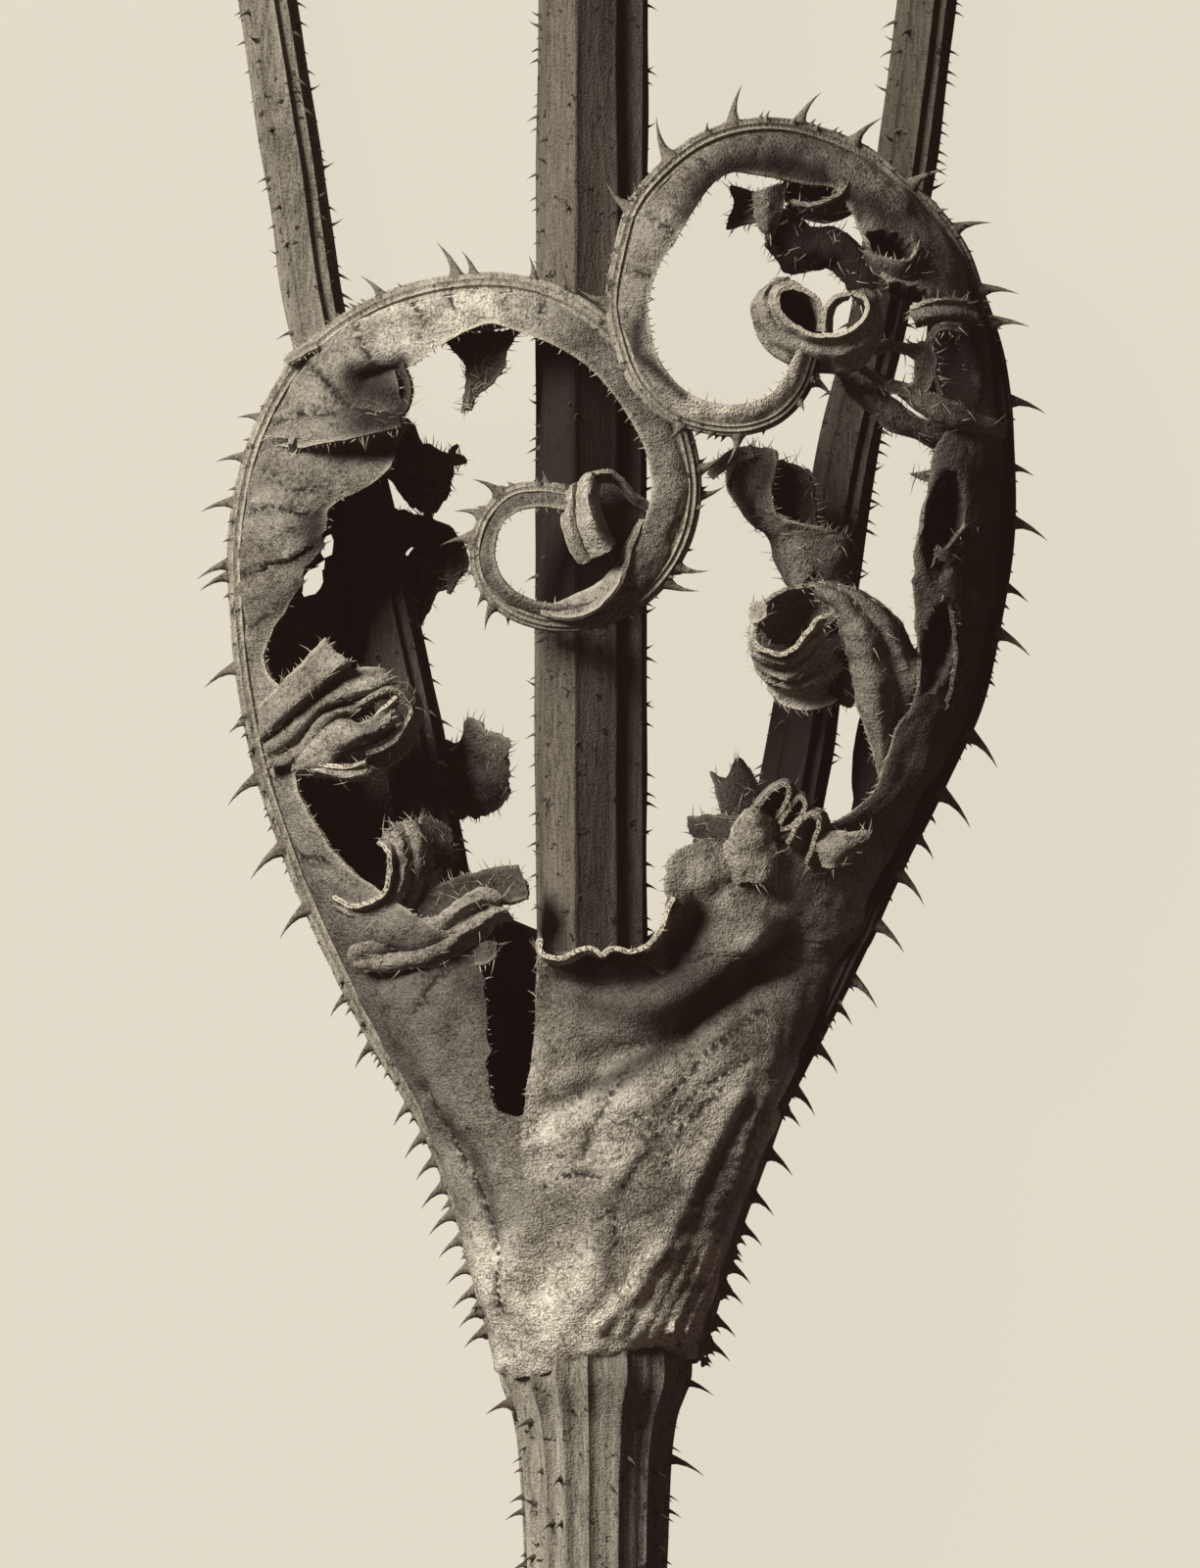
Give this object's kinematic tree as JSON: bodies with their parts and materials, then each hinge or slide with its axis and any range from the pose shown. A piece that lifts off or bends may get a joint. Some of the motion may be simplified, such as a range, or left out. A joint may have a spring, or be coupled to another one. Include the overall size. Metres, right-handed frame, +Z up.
{
  "type": "dried teasel stem with leaf pair",
  "caption": "Prickly dried teasel stem lying down, with opposite leaves joined in a cup round it, their tips coiled and lobes torn, and side shoots from their axils.",
  "frame": {"origin": "centre of the bounding box's bottom face, on the surface that the stem lies on", "axes": "+Y along the stem from its lower cut to the upper one, +X across the leaf pair, +Z up from the surface"},
  "size_m": [0.0434, 0.0962, 0.0158],
  "materials": {
    "main_stem": "dry ribbed stem, matte, grey brown",
    "left_shoot": "dry ribbed shoot, matte, grey brown",
    "right_shoot": "dry ribbed shoot, matte, grey brown",
    "left_leaf": "dry leaf, matte, veined, fawn grey",
    "right_leaf": "dry leaf, matte, veined, fawn grey"
  },
  "bodies": {
    "root": {"main_stem": "main_stem", "left_shoot": "left_shoot", "right_shoot": "right_shoot", "left_leaf": "left_leaf", "right_leaf": "right_leaf"}
  },
  "joints": []
}
